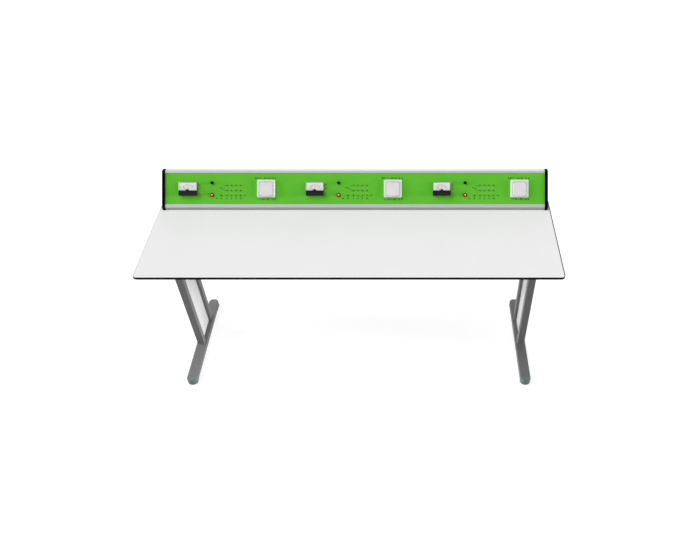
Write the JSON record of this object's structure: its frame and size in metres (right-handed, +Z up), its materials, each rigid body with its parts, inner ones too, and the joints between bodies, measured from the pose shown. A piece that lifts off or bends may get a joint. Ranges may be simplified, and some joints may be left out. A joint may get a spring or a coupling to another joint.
{
  "type": "science lab table",
  "caption": "Lab table on tubular cantilever legs, with a thin laminate top and a sloping supply console of meters, lidded mains sockets and low voltage sockets along the rear edge.",
  "frame": {"origin": "on the floor, under the middle of the worktop, at the bottom centre of the bounding box", "axes": "+X to the right along the length of the table as its user sees it, +Y to the rear edge that carries the console, +Z up"},
  "size_m": [1.8, 0.6, 0.8954],
  "materials": {
    "laminate": "fine matt high-pressure laminate, pale grey-white",
    "infill_laminate": "matt white laminate sheet",
    "grey_steel": "satin grey powder coat",
    "grey_plastic": "moulded grey plastic, lightly grained",
    "zinc_steel": "bright zinc plate",
    "anodised_aluminium": "satin natural anodised extrusion",
    "black_screws": "black oxide",
    "black_plastic": "moulded black plastic",
    "green_fascia": "smooth printed green sheet",
    "black_nylon": "moulded nylon",
    "transformer_iron": "varnished laminations",
    "red_plastic": "moulded red",
    "blue_plastic": "moulded blue",
    "black_socket_plastic": "moulded black",
    "meter_black": "moulded black, semi-gloss",
    "needle_black": "matt black lacquer",
    "clear_cover": "clear moulded acrylic",
    "dial_white": "matt white dial",
    "movement_steel": "plain steel can",
    "plate_white": "moulded white, semi-gloss",
    "lid_white": "moulded white, semi-gloss",
    "insert_white": "moulded white",
    "clip_brass": "sprung brass strip",
    "pin_steel": "drawn steel wire",
    "spring_steel": "spring wire",
    "fuse_black": "moulded black",
    "fuse_cap_black": "moulded black",
    "switch_red": "moulded red",
    "button_lit": "translucent red, lit"
  },
  "bodies": {
    "table": {"worktop": "laminate", "rail_plugs": "grey_plastic", "infill_brackets": "zinc_steel", "crossbeam_front": "grey_steel", "crossbeam_rear": "grey_steel", "beam_bolts": "zinc_steel", "beam_nuts": "zinc_steel", "worktop_screws": "zinc_steel", "console_profile": "anodised_aluminium", "end_cap_left": "black_plastic", "end_cap_right": "black_plastic", "end_cap_screws": "black_screws", "console_screws": "zinc_steel", "fascia": "green_fascia", "supply_modules": "transformer_iron", "supply_gland": "black_nylon", "meter_covers": "clear_cover", "meter_dials": "dial_white", "meter_movements": "movement_steel", "fuse_holders": "fuse_black", "switch_housings": "switch_red", "red_outlets": "red_plastic", "blue_outlets": "blue_plastic", "black_outlets": "black_socket_plastic", "mains_inserts": "insert_white", "earth_clips": "clip_brass", "hinge_pins": "pin_steel", "lid_springs": "spring_steel", "foot_tube_left": "grey_steel", "foot_tube_right": "grey_steel", "front_upright_left": "grey_steel", "front_upright_right": "grey_steel", "rear_upright_left": "grey_steel", "rear_upright_right": "grey_steel", "top_rail_left": "grey_steel", "top_rail_right": "grey_steel", "infill_panel_left": "infill_laminate", "infill_panel_right": "infill_laminate", "foot_cap_front_left": "grey_plastic", "foot_cap_front_right": "grey_plastic", "foot_cap_rear_left": "grey_plastic", "foot_cap_rear_right": "grey_plastic", "meter_case_1": "meter_black", "meter_case_2": "meter_black", "meter_case_3": "meter_black", "mains_plate_1": "plate_white", "mains_plate_2": "plate_white", "mains_plate_3": "plate_white"},
    "meter_needle_1": {"meter_needle_1": "needle_black"},
    "fuse_cap_1": {"fuse_cap_1": "fuse_cap_black"},
    "switch_button_1": {"switch_button_1": "button_lit"},
    "mains_lid_1": {"mains_lid_1": "lid_white"},
    "meter_needle_2": {"meter_needle_2": "needle_black"},
    "fuse_cap_2": {"fuse_cap_2": "fuse_cap_black"},
    "switch_button_2": {"switch_button_2": "button_lit"},
    "mains_lid_2": {"mains_lid_2": "lid_white"},
    "meter_needle_3": {"meter_needle_3": "needle_black"},
    "fuse_cap_3": {"fuse_cap_3": "fuse_cap_black"},
    "switch_button_3": {"switch_button_3": "button_lit"},
    "mains_lid_3": {"mains_lid_3": "lid_white"}
  },
  "joints": [
    {"name": "mains_lid_1_hinge", "type": "hinge", "parent": "table", "child": "mains_lid_1", "pos_m": [-0.4067, 0.21666, 0.86148], "axis": [-1, 0, 0], "range_deg": [0, 100], "stiffness_Nm_per_rad": 0.02, "springref_deg": -28.65},
    {"name": "meter_needle_1_pivot", "type": "hinge", "parent": "table", "child": "meter_needle_1", "pos_m": [-0.764, 0.18597, 0.83136], "axis": [0, 0.7071, -0.7071], "range_deg": [0, 90], "stiffness_Nm_per_rad": 0.00002, "springref_deg": -20.05},
    {"name": "fuse_cap_1_turn", "type": "hinge", "parent": "table", "child": "fuse_cap_1", "pos_m": [-0.656, 0.21814, 0.85787], "axis": [0, -0.7071, 0.7071], "range_deg": [0, 60]},
    {"name": "switch_button_1_press", "type": "slide", "parent": "table", "child": "switch_button_1", "axis": [0, 0.7071, -0.7071], "range_m": [0, 0.0025], "stiffness_N_per_m": 400, "springref_m": -0.001},
    {"name": "mains_lid_2_hinge", "type": "hinge", "parent": "table", "child": "mains_lid_2", "pos_m": [0.1743, 0.21666, 0.86148], "axis": [-1, 0, 0], "range_deg": [0, 100], "stiffness_Nm_per_rad": 0.02, "springref_deg": -28.65},
    {"name": "meter_needle_2_pivot", "type": "hinge", "parent": "table", "child": "meter_needle_2", "pos_m": [-0.183, 0.18597, 0.83136], "axis": [0, 0.7071, -0.7071], "range_deg": [0, 90], "stiffness_Nm_per_rad": 0.00002, "springref_deg": -20.05},
    {"name": "fuse_cap_2_turn", "type": "hinge", "parent": "table", "child": "fuse_cap_2", "pos_m": [-0.075, 0.21814, 0.85787], "axis": [0, -0.7071, 0.7071], "range_deg": [0, 60]},
    {"name": "switch_button_2_press", "type": "slide", "parent": "table", "child": "switch_button_2", "axis": [0, 0.7071, -0.7071], "range_m": [0, 0.0025], "stiffness_N_per_m": 400, "springref_m": -0.001},
    {"name": "mains_lid_3_hinge", "type": "hinge", "parent": "table", "child": "mains_lid_3", "pos_m": [0.7553, 0.21666, 0.86148], "axis": [-1, 0, 0], "range_deg": [0, 100], "stiffness_Nm_per_rad": 0.02, "springref_deg": -28.65},
    {"name": "meter_needle_3_pivot", "type": "hinge", "parent": "table", "child": "meter_needle_3", "pos_m": [0.398, 0.18597, 0.83136], "axis": [0, 0.7071, -0.7071], "range_deg": [0, 90], "stiffness_Nm_per_rad": 0.00002, "springref_deg": -20.05},
    {"name": "fuse_cap_3_turn", "type": "hinge", "parent": "table", "child": "fuse_cap_3", "pos_m": [0.506, 0.21814, 0.85787], "axis": [0, -0.7071, 0.7071], "range_deg": [0, 60]},
    {"name": "switch_button_3_press", "type": "slide", "parent": "table", "child": "switch_button_3", "axis": [0, 0.7071, -0.7071], "range_m": [0, 0.0025], "stiffness_N_per_m": 400, "springref_m": -0.001}
  ]
}
